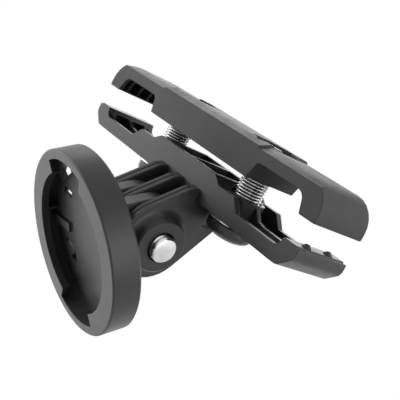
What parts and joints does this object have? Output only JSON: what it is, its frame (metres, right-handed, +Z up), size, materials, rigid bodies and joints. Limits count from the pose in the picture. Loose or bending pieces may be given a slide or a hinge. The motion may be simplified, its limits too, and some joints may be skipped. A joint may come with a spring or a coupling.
{
  "type": "bicycle light saddle rail mount",
  "caption": "Two-jaw clamp for the pair of rails under a bicycle saddle, with a tilting quarter-turn cup that holds a light.",
  "frame": {"origin": "midway between the two saddle rails, at the height of their centre lines and at the middle of the jaws' depth", "axes": "+X across the rails towards the visible bolt tip, +Y along the rails away from the cup, +Z up along the clamp screws"},
  "size_m": [0.066, 0.0342, 0.0441],
  "materials": {
    "upper_plastic": "fine moulded texture, dark grey",
    "lower_plastic": "fine moulded texture, dark grey",
    "cup_plastic": "fine moulded texture, dark grey",
    "black_screw": "black oxide steel, half shiny",
    "bright_steel": "zinc plated, shiny",
    "spring_steel": "bright drawn wire",
    "brass": "turned"
  },
  "bodies": {
    "lower_jaw": {"lower_clamp": "lower_plastic", "clamp_washer_left": "bright_steel", "clamp_washer_right": "bright_steel", "hinge_bolt": "bright_steel", "hinge_insert": "brass", "spring_left": "spring_steel", "spring_right": "spring_steel"},
    "upper_jaw": {"upper_clamp": "upper_plastic", "clamp_nut_left": "bright_steel", "clamp_nut_right": "bright_steel"},
    "screw_left": {"clamp_screw_left": "black_screw"},
    "screw_right": {"clamp_screw_right": "black_screw"},
    "cup": {"light_cup": "cup_plastic"}
  },
  "joints": [
    {"name": "screw_left_turn", "type": "hinge", "parent": "lower_jaw", "child": "screw_left", "pos_m": [-0.0121, 0, -0.008], "axis": [0, 0, 1], "range_deg": [0, 1030]},
    {"name": "screw_right_turn", "type": "hinge", "parent": "lower_jaw", "child": "screw_right", "pos_m": [0.0121, 0, -0.008], "axis": [0, 0, 1], "range_deg": [0, 1030]},
    {"name": "jaw_close", "type": "slide", "parent": "lower_jaw", "child": "upper_jaw", "axis": [0, 0, 1], "range_m": [-0.002, 0], "deforming": ["spring_left", "spring_right"]},
    {"name": "cup_tilt", "type": "hinge", "parent": "lower_jaw", "child": "cup", "pos_m": [0.00112, -0.0094, -0.0159], "axis": [1, 0, 0], "range_deg": [-45, 75]}
  ],
  "couplings": [
    {"joint": "screw_left_turn", "follows": "jaw_close", "rad_per_m": -8975.9},
    {"joint": "screw_right_turn", "follows": "jaw_close", "rad_per_m": -8975.9}
  ]
}
